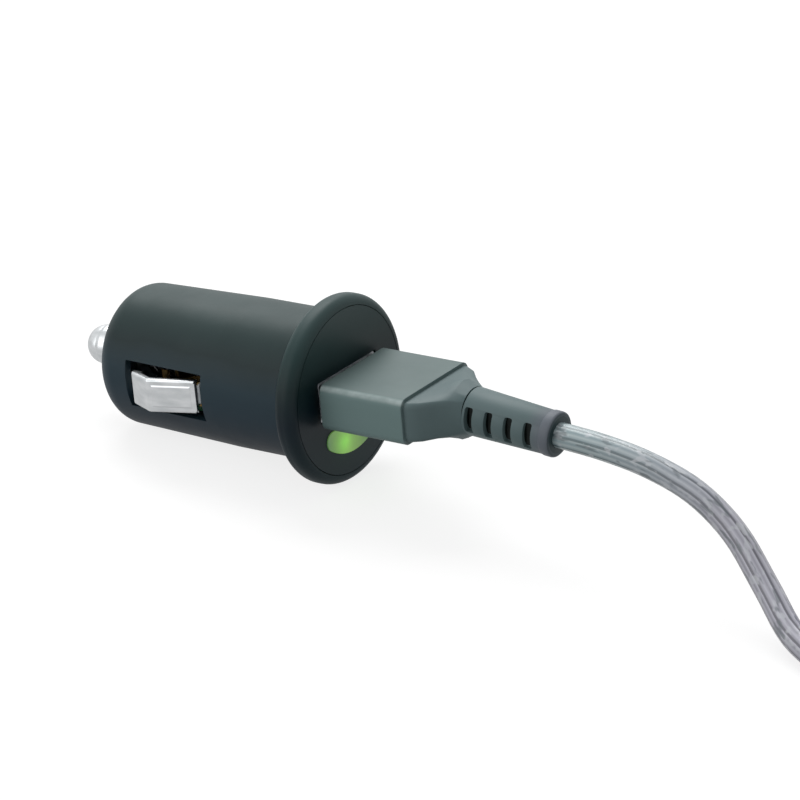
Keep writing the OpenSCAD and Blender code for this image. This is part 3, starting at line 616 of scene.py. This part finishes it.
def sweep_cord(line, radius, sides):
    """A tube along a line, with a map round it and along it for the jacket's streaks."""
    mesh = bpy.data.meshes.new("cord")
    tube = bmesh.new()
    uv = tube.loops.layers.uv.new("cord_uv")
    rings, lengths, done = [], [], 0.0
    side = Vector((0, 1, 0))
    for i, at in enumerate(line):
        way = (line[min(i + 1, len(line) - 1)] - line[max(i - 1, 0)]).normalized()
        side = (side - way * side.dot(way)).normalized()
        up = way.cross(side)
        if i:
            done += (at - line[i - 1]).length
        lengths.append(done)
        rings.append([
            tube.verts.new(at + radius * (
                side * math.cos(math.tau * k / sides) + up * math.sin(math.tau * k / sides)
            )) for k in range(sides)
        ])
    for i in range(len(rings) - 1):
        for k in range(sides):
            m = (k + 1) % sides
            face = tube.faces.new((rings[i][k], rings[i][m], rings[i + 1][m], rings[i + 1][k]))
            face.smooth = True
            corners = ((k, i), (k + 1, i), (k + 1, i + 1), (k, i + 1))
            for loop, (u, v) in zip(face.loops, corners):
                loop[uv].uv = (u / sides, lengths[v])
    tube.faces.new(reversed(rings[0]))
    tube.faces.new(rings[-1])
    bmesh.ops.recalc_face_normals(tube, faces=tube.faces)
    tube.to_mesh(mesh)
    tube.free()
    piece = bpy.data.objects.new("cord", mesh)
    scene.collection.objects.link(piece)
    return piece, done


cord, cord_length = sweep_cord(centre_line, CORD_D / 2 * MM, CORD_SIDES)
place_piece(
    cord, "free_cord", "cable_plug", jacket,
    ("cord", "cord_coil", "cord_tail"),
)


# The cable plug's grip with its strain relief
GRIP_ROUND = 1.25
# The steps by which the block's end face is drawn out into the shoulders: each one's length, how
# far it narrows its width and its height, and how far it is rounded towards a circle
SHOULDER_STEPS = (
    (0.5, 1.0, 1.0, 0.0), (1.4, 0.9, 0.97, 0.0), (1.4, 0.82, 1.02, 0.25),
    (1.5, 0.8, 1.05, 0.5), (1.5, 0.84, 1.04, 1.0),
)
# The relief's slots, with the nearest and furthest reach of their cutters from its line, and the
# collar at its end
SLOT_COUNT, SLOT_FIRST, SLOT_PITCH = 4, 0.95, 3.0
SLOT_W, SLOT_H, SLOT_NEAR, SLOT_FAR, SLOT_ROUND = 1.2, 3.6, 1.9, 4.2, 0.3
COLLAR_LEN, COLLAR_OUT, COLLAR_OVERHANG = 1.6, 0.15, 0.4


def ring_corners(piece):
    """Where the corners of the selected ring lie."""
    return [v.co for v in bmesh.from_edit_mesh(piece.data).verts if v.select]


def size_ring(piece, middle, radius):
    """Gives the selected ring a mean radius, square to X."""
    _, y, z = middle
    reach = [math.hypot(c.y - y, c.z - z) for c in ring_corners(piece)]
    share = radius * MM / (sum(reach) / len(reach))
    bpy.ops.transform.resize(value=(1, share, share), center_override=middle)


def grip_block():
    piece = add_block(
        (GRIP_X, -GRIP_W / 2, PORT_Z - GRIP_T / 2), (SHOULDER_X, GRIP_W / 2, PORT_Z + GRIP_T / 2)
    )
    choose_along(piece, 0)
    bpy.ops.mesh.bevel(offset=GRIP_ROUND * MM, segments=5, affect="EDGES")
    choose_along(piece, 1)
    bpy.ops.mesh.subdivide(number_cuts=7)
    choose_along(piece, 2)
    bpy.ops.mesh.subdivide(number_cuts=2)
    choose(piece, "FACE", lambda f: f.normal.x > 0.9)
    bpy.ops.mesh.inset(thickness=0.45 * MM)
    for length, wide, high, round_off in SHOULDER_STEPS:
        draw_out((length, 0, 0))
        middle = (max(c.x for c in ring_corners(piece)), 0, PORT_Z * MM)
        if round_off:
            bpy.ops.transform.tosphere(value=round_off, center_override=middle)
        bpy.ops.transform.resize(value=(1, wide, high), center_override=middle)
    bpy.ops.transform.tosphere(value=1.0, center_override=middle)
    size_ring(piece, middle, RELIEF_R1)
    bpy.ops.object.mode_set(mode="OBJECT")
    round_edges(piece, 0.3, 3)
    return piece


def slot_cutter(middle, side):
    """A block with round corners that cuts one slot of the relief, which stands on end along Z."""
    low, high = sorted((side * SLOT_NEAR, side * SLOT_FAR))
    block = add_block(
        (-SLOT_H / 2, low, middle - SLOT_W / 2), (SLOT_H / 2, high, middle + SLOT_W / 2)
    )
    choose_along(block, 1)
    bpy.ops.mesh.bevel(offset=SLOT_ROUND * MM, segments=3, affect="EDGES")
    bpy.ops.object.mode_set(mode="OBJECT")
    return block


def relief_sleeve():
    """The slotted sleeve with the collar round its end, made on end along Z and then laid down."""
    clear_selection()
    length = RELIEF_LEN - COLLAR_OVERHANG
    bpy.ops.mesh.primitive_cone_add(
        vertices=64, radius1=RELIEF_R1 * MM, radius2=RELIEF_R2 * MM, depth=length * MM,
        location=(0, 0, length / 2 * MM),
    )
    sleeve = bpy.context.object
    apply_place(sleeve)
    cut_away(sleeve, [
        slot_cutter(SLOT_FIRST + i * SLOT_PITCH, side)
        for i in range(SLOT_COUNT) for side in (-1, 1)
    ])
    round_edges(sleeve, 0.14, 2)
    clear_selection()
    bpy.ops.mesh.primitive_cylinder_add(
        vertices=64, radius=(RELIEF_R2 + COLLAR_OUT) * MM, depth=COLLAR_LEN * MM,
        location=(0, 0, (RELIEF_LEN - COLLAR_LEN / 2) * MM),
    )
    collar = bpy.context.object
    apply_place(collar)
    round_edges(collar, 0.35, 3)
    sleeve = join_pieces([sleeve, collar])
    turn_piece(sleeve, Matrix.Translation(Vector((RELIEF_X, 0, PORT_Z)) * MM)
               @ Matrix.Rotation(math.pi / 2 + DROOP, 4, "Y"))
    return sleeve


grip = join_pieces([grip_block(), relief_sleeve()])
turn_piece(grip, REST)
soften(grip)
place_piece(
    grip, "cable_plug_grip", "cable_plug", grip_finish, ("plug_grip",),
)


# Ground contacts: a strip that comes up a ramp to its crest and slopes back into its window, with
# rounded bends, sides that are folded in, a raised panel and a hook at each end. Places along X,
# distances from the barrel's axis, and then the strip's own sizes
RAMP_X, CREST_X, BACK_X = -25.8, -22.0, -15.4
FRONT_HOOK_X, BACK_HOOK_X, BACK_HOOK_SLANT = -28.8, -12.9, -0.4
RAMP_Y, CREST_Y, BACK_Y, HOOK_Y = 10.7, 12.2, 10.0, 8.35
GROUND_Z, STRIP_W, HOOK_W, SHEET = -0.4, 4.1, 3.0, 0.3
BEND, FOLD_R, FOLD_LEN, FOLD_STEPS = 0.3, 0.35, 0.5, 4
SHOULDER, TAPER = 0.4, 0.15
PANEL_IN, PANEL_SLOPE, PANEL_OUT = 0.45, 0.2, 0.12
NEAR = 1e-6


def choose_at(piece, axis, value, test=lambda edge: True):
    """Selects the edges that lie at one value of an axis and pass a test."""
    choose(piece, "EDGE", lambda edge: all(
        abs(v.co[axis] - value * MM) < NEAR for v in edge.verts
    ) and test(edge))


def strip_plane(low_x, high_x, y, wide):
    """The first flat stretch of a strip, standing on edge beside the barrel's axis."""
    clear_selection()
    bpy.ops.mesh.primitive_plane_add(
        size=1, location=((low_x + high_x) / 2 * MM, y * MM, GROUND_Z * MM),
        rotation=(math.pi / 2, 0, 0),
    )
    piece = bpy.context.object
    piece.scale = ((high_x - low_x) * MM, wide * MM, 1)
    apply_place(piece)
    return piece


def face_outwards(piece, side):
    """Turns a strip over if its largest face looks towards the barrel's axis."""
    largest = max(piece.data.polygons, key=lambda f: f.area)
    if largest.normal.y * side < 0:
        piece.data.flip_normals()


def draw_hook(side, from_x, from_y, to_x, slant=0.0):
    """From the strip's end inwards, narrower, and out under the barrel's wall."""
    draw_out((0, -side * SHOULDER, 0))
    draw_out((0, -side * TAPER, 0))
    bpy.ops.transform.resize(
        value=(1, 1, HOOK_W / STRIP_W), center_override=(0, 0, GROUND_Z * MM),
    )
    draw_out((slant, -side * (from_y - SHOULDER - TAPER - HOOK_Y), 0))
    draw_out((to_x - from_x - slant, 0, 0))


def fold_side(piece, side, end):
    """Folds one long side of the strip in, by a quarter round and a short flat."""
    low_x, high_x = (RAMP_X + BEND) * MM, (BACK_X - BEND) * MM
    choose_at(piece, 2, GROUND_Z + end * STRIP_W / 2, lambda edge: (
        low_x < (edge.verts[0].co.x + edge.verts[1].co.x) / 2 < high_x
    ))
    for step in range(FOLD_STEPS):
        a, b = (math.radians(90 / FOLD_STEPS * k) for k in (step, step + 1))
        draw_out((0, side * FOLD_R * (math.cos(b) - math.cos(a)),
                  end * FOLD_R * (math.sin(b) - math.sin(a))))
    draw_out((0, -side * FOLD_LEN, 0))


def ground_contact(side):
    piece = strip_plane(CREST_X, BACK_X, side * CREST_Y, STRIP_W)
    choose_at(piece, 0, BACK_X)
    bpy.ops.transform.translate(value=(0, -side * (CREST_Y - BACK_Y) * MM, 0))
    draw_hook(side, BACK_X, BACK_Y, BACK_HOOK_X, BACK_HOOK_SLANT)
    choose_at(piece, 0, CREST_X)
    draw_out((RAMP_X - CREST_X, -side * (CREST_Y - RAMP_Y), 0))
    draw_hook(side, RAMP_X, RAMP_Y, FRONT_HOOK_X)
    bpy.ops.mesh.select_all(action="SELECT")
    bpy.ops.mesh.remove_doubles(threshold=NEAR)
    turn_normals_out()
    round_edges(piece, BEND, 4, 15)
    for end in (-1, 1):
        fold_side(piece, side, end)
    bpy.ops.object.mode_set(mode="OBJECT")
    face_outwards(piece, side)
    apply_modifier(piece, "SOLIDIFY", thickness=SHEET * MM, offset=-1.0)
    largest = max(f.area for f in piece.data.polygons if f.normal.y * side > 0)
    choose(piece, "FACE", lambda f: f.normal.y * side > 0 and f.calc_area() > 0.999 * largest)
    bpy.ops.mesh.inset(thickness=PANEL_IN * MM)
    bpy.ops.mesh.inset(thickness=PANEL_SLOPE * MM, depth=PANEL_OUT * MM)
    bpy.ops.object.mode_set(mode="OBJECT")
    return piece


# The springs behind the contacts: a bow for each ground contact, a coil for the centre contact.
# The bow has a foot, a rise, a flat top, a fall and a foot; its feet and its crown are distances
# from the barrel's axis
BOW_BACK, BOW_FOOT, BOW_RISE, BOW_TOP = -15.6, 1.2, 1.1, 2.4
BOW_FEET_Y, BOW_CROWN_Y, BOW_SHEET, BOW_W, BOW_BEND = 7.65, 10.45, 0.25, 4.4, 0.5
SPRING_FRONT, SPRING_BACK, SPRING_R = -30.8, -24.1, 2.5
WIRE_D, WIRE_SIDES, SPRING_TURNS, SPRING_GAP = 0.7, 14, 4, 0.05


def bow_spring(side):
    foot_y = BOW_FEET_Y + BOW_SHEET
    rise = side * (BOW_CROWN_Y - foot_y)
    piece = strip_plane(BOW_BACK - BOW_FOOT, BOW_BACK, side * foot_y, BOW_W)
    choose_at(piece, 0, BOW_BACK - BOW_FOOT)
    for along, out in ((BOW_RISE, rise), (BOW_TOP, 0), (BOW_RISE, -rise), (BOW_FOOT, 0)):
        draw_out((-along, out, 0))
    turn_normals_out()
    round_edges(piece, BOW_BEND, 5, 15)
    face_outwards(piece, side)
    apply_modifier(piece, "SOLIDIFY", thickness=BOW_SHEET * MM, offset=-1.0)
    return piece


def wound_spring():
    """A ring of wire, wound up along Z by the screw modifier, closed at its ends and laid down."""
    clear_selection()
    first = WIRE_D / 2 + SPRING_GAP
    run = SPRING_BACK - SPRING_FRONT - 2 * first
    bpy.ops.mesh.primitive_circle_add(
        vertices=WIRE_SIDES, radius=WIRE_D / 2 * MM, location=(SPRING_R * MM, 0, first * MM),
        rotation=(math.pi / 2, 0, 0),
    )
    piece = bpy.context.object
    apply_place(piece)
    apply_modifier(
        piece, "SCREW", axis="Z", screw_offset=run / SPRING_TURNS * MM, iterations=SPRING_TURNS,
        steps=32,
    )
    middle = (first + run / 2) * MM
    for end in (-1, 1):
        choose(piece, "EDGE", lambda e: e.is_boundary and all(
            (v.co.z - middle) * end > 0 for v in e.verts
        ))
        bpy.ops.mesh.edge_face_add()
    turn_normals_out()
    turn_piece(piece, REST @ Matrix.Translation(Vector((SPRING_FRONT, 0, 0)) * MM)
               @ Matrix.Rotation(math.pi / 2, 4, "Y"))
    return piece


for side, which in ((-1, "left"), (1, "right")):
    contact = ground_contact(side)
    turn_piece(contact, REST)
    soften(contact, 30)
    name = "ground_contact_" + which
    place_piece(contact, name + "_sheet", name, nickel, (name,))
    bow = bow_spring(side)
    turn_piece(bow, REST)
    soften(bow, 30)
    spring = "ground_spring_" + which
    place_piece(bow, spring + "_strip", "charger", brass, (spring,))
    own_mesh(bow)

coil_spring = wound_spring()
soften(coil_spring, 40)
place_piece(
    coil_spring, "contact_spring_wire", "charger", wire, ("contact_spring",),
)
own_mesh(coil_spring)


# The tie round the coil: its width along X, its inner and outer side, its height and its gap to
# the floor, the rounding of its corners and the thickness of its band
TIE_W, TIE_LOW_Y, TIE_HIGH_Y = 5.0, COIL_Y + 4.4, COIL_Y + 16.1
TIE_TOP, TIE_GAP, TIE_ROUND, TIE_BAND = 7.6, 0.02, 1.5, 0.45


def tie_strap():
    """A flat band with round corners: an outline in Y and Z, drawn out along X."""
    clear_selection()
    bpy.ops.mesh.primitive_plane_add(
        size=1, rotation=(0, math.pi / 2, 0),
        location=(
            (TIE_X - TIE_W / 2) * MM, (TIE_LOW_Y + TIE_HIGH_Y) / 2 * MM,
            (TIE_TOP + TIE_GAP) / 2 * MM,
        ),
    )
    piece = bpy.context.object
    piece.scale = ((TIE_TOP - TIE_GAP) * MM, (TIE_HIGH_Y - TIE_LOW_Y) * MM, 1)
    apply_place(piece)
    choose(piece, "VERT", lambda v: True)
    bpy.ops.mesh.bevel(offset=TIE_ROUND * MM, segments=6, affect="VERTICES")
    bpy.ops.mesh.select_all(action="SELECT")
    bpy.ops.mesh.delete(type="ONLY_FACE")
    bpy.ops.mesh.select_all(action="SELECT")
    bpy.ops.mesh.extrude_edges_move(TRANSFORM_OT_translate={"value": (TIE_W * MM, 0, 0)})
    turn_normals_out()
    apply_modifier(piece, "SOLIDIFY", thickness=TIE_BAND * MM, offset=-1.0)
    round_edges(piece, 0.1, 2, 60)
    return piece


tie = tie_strap()
soften(tie)
place_piece(tie, "tie_band", "cable_plug", black_finish, ("cord_tie",))


# The device plug's grip: the middle of its cord end, its block's size, the steps of its neck down
# to the cord, each with its length, narrowing and rounding, and its finger grooves
DEVICE_AT = (141.5, -7.6, 3.5)
DEVICE_LEN, DEVICE_W, DEVICE_T, DEVICE_ROUND = 10, 10.6, 7.0, 1.4
NECK_STEPS = ((0.8, 0.97, 0), (1.6, 0.86, 0.3), (1.8, 0.78, 0.7), (1.8, 0.8, 1))
NECK_R = 2.45
GROOVE_COUNT, GROOVE_X, GROOVE_PITCH = 3, 143.6, 1.9
GROOVE_R, GROOVE_LEN, GROOVE_OUT = 0.55, 4.2, 0.25


def device_grip():
    """A slim block with soft edges, three finger grooves a side and a neck down to the cord."""
    x, y, z = DEVICE_AT
    piece = add_block(
        (x, y - DEVICE_W / 2, z - DEVICE_T / 2),
        (x + DEVICE_LEN, y + DEVICE_W / 2, z + DEVICE_T / 2),
    )
    choose_along(piece, 0)
    bpy.ops.mesh.bevel(offset=DEVICE_ROUND * MM, segments=5, affect="EDGES")
    choose(piece, "FACE", lambda f: f.normal.x < -0.9)
    bpy.ops.mesh.inset(thickness=0.35 * MM)
    for length, share, round_off in NECK_STEPS:
        draw_out((-length, 0, 0))
        x -= length
        middle = (x * MM, y * MM, z * MM)
        if round_off:
            bpy.ops.transform.tosphere(value=round_off, center_override=middle)
        bpy.ops.transform.resize(value=(1, share, share), center_override=middle)
    size_ring(piece, middle, NECK_R)
    bpy.ops.object.mode_set(mode="OBJECT")
    cutters = []
    for side in (-1, 1):
        side_y = y + side * (DEVICE_W / 2 + GROOVE_OUT)
        for i in range(GROOVE_COUNT):
            clear_selection()
            bpy.ops.mesh.primitive_cylinder_add(
                vertices=32, radius=GROOVE_R * MM, depth=GROOVE_LEN * MM,
                location=((GROOVE_X + GROOVE_PITCH * i) * MM, side_y * MM, z * MM),
            )
            cutters.append(bpy.context.object)
            apply_place(cutters[-1])
    cut_away(piece, cutters)
    round_edges(piece, 0.25, 3)
    return piece


far_grip = device_grip()
soften(far_grip)
place_piece(
    far_grip, "device_plug_moulding", "cable_plug", device_grip_finish,
    ("device_plug_grip",),
)


# Floor, background and light. The floor's own colour, the glow that makes it white where it is
# seen, and the share of that glow that is mirrored, which is smaller, so that an underside shows
# that it lies close to the floor
FLOOR_TONE, FLOOR_GLOW, MIRRORED_SHARE = 0.34, 0.8, 0.6
FLOOR_SIZE, FLOOR_DROP = 6, 0.00002
# The strength of the white world: as light on the object, and where it is seen or mirrored
WORLD_LIGHT, WORLD_SEEN = 0.34, 1.0


def pale_floor():
    """The floor keeps the object's shadow, and it is white to the camera."""
    finish = Finish("pale_floor", roughness=0.9)
    finish.shader.inputs["Specular IOR Level"].default_value = 0.0
    finish.shader.inputs["Base Color"].default_value = (FLOOR_TONE, FLOOR_TONE, FLOOR_TONE, 1)
    path = finish.node("ShaderNodeLightPath")
    mirrored = finish.calc("MULTIPLY", path.outputs["Is Glossy Ray"], MIRRORED_SHARE)
    seen = finish.calc("MAXIMUM", path.outputs["Is Camera Ray"], mirrored)
    seen = finish.calc("MAXIMUM", seen, path.outputs["Is Transmission Ray"])
    finish.shader.inputs["Emission Color"].default_value = (1, 1, 1, 1)
    glow = finish.calc("MULTIPLY", seen, FLOOR_GLOW)
    finish.link(glow, finish.shader.inputs["Emission Strength"])
    return finish


clear_selection()
bpy.ops.mesh.primitive_plane_add(size=FLOOR_SIZE, location=(0, 0, -FLOOR_DROP))
floor = bpy.context.object
floor.name = "floor"
floor.data.materials.append(pale_floor().material)

world = bpy.data.worlds.new("studio")
scene.world = world
world.use_nodes = True
sky = world.node_tree
background = sky.nodes["Background"]
path = sky.nodes.new("ShaderNodeLightPath")
seen = sky.nodes.new("ShaderNodeMath")
seen.operation = "MAXIMUM"
sky.links.new(path.outputs["Is Camera Ray"], seen.inputs[0])
sky.links.new(path.outputs["Is Glossy Ray"], seen.inputs[1])
level = sky.nodes.new("ShaderNodeMapRange")
level.inputs["To Min"].default_value = WORLD_LIGHT
level.inputs["To Max"].default_value = WORLD_SEEN
sky.links.new(seen.outputs["Value"], level.inputs["Value"])
sky.links.new(level.outputs["Result"], background.inputs["Strength"])
background.inputs["Color"].default_value = (1, 1, 1, 1)


def soft_lamp(name, way, distance, size, power):
    """A square lamp that shines at the middle from one way; in metres and watts."""
    way = Vector(way).normalized()
    bpy.ops.object.light_add(type="AREA", location=way * distance)
    lamp = bpy.context.object
    lamp.name = name
    lamp.data.size = size
    lamp.data.energy = power
    lamp.rotation_euler = way.to_track_quat("Z", "Y").to_euler()


soft_lamp("key_lamp", way=(-0.45, 0.45, 0.8), distance=0.9, size=0.6, power=4.5)
soft_lamp("fill_lamp", way=(-0.5, -0.8, 0.42), distance=0.9, size=0.8, power=1.9)

# The window's own light on the face round it and on the plug above it, just ahead of the window
GLOW_AT = (4.8, -2.2, -6.7)
bpy.ops.object.light_add(type="POINT", location=REST @ (Vector(GLOW_AT) * MM))
glow = bpy.context.object
glow.name = "window_glow"
glow.data.color = (0.3, 1.0, 0.12)
glow.data.energy = 0.00008
glow.data.shadow_soft_size = 1.0 * MM
glow.visible_camera = False
glow.visible_glossy = False
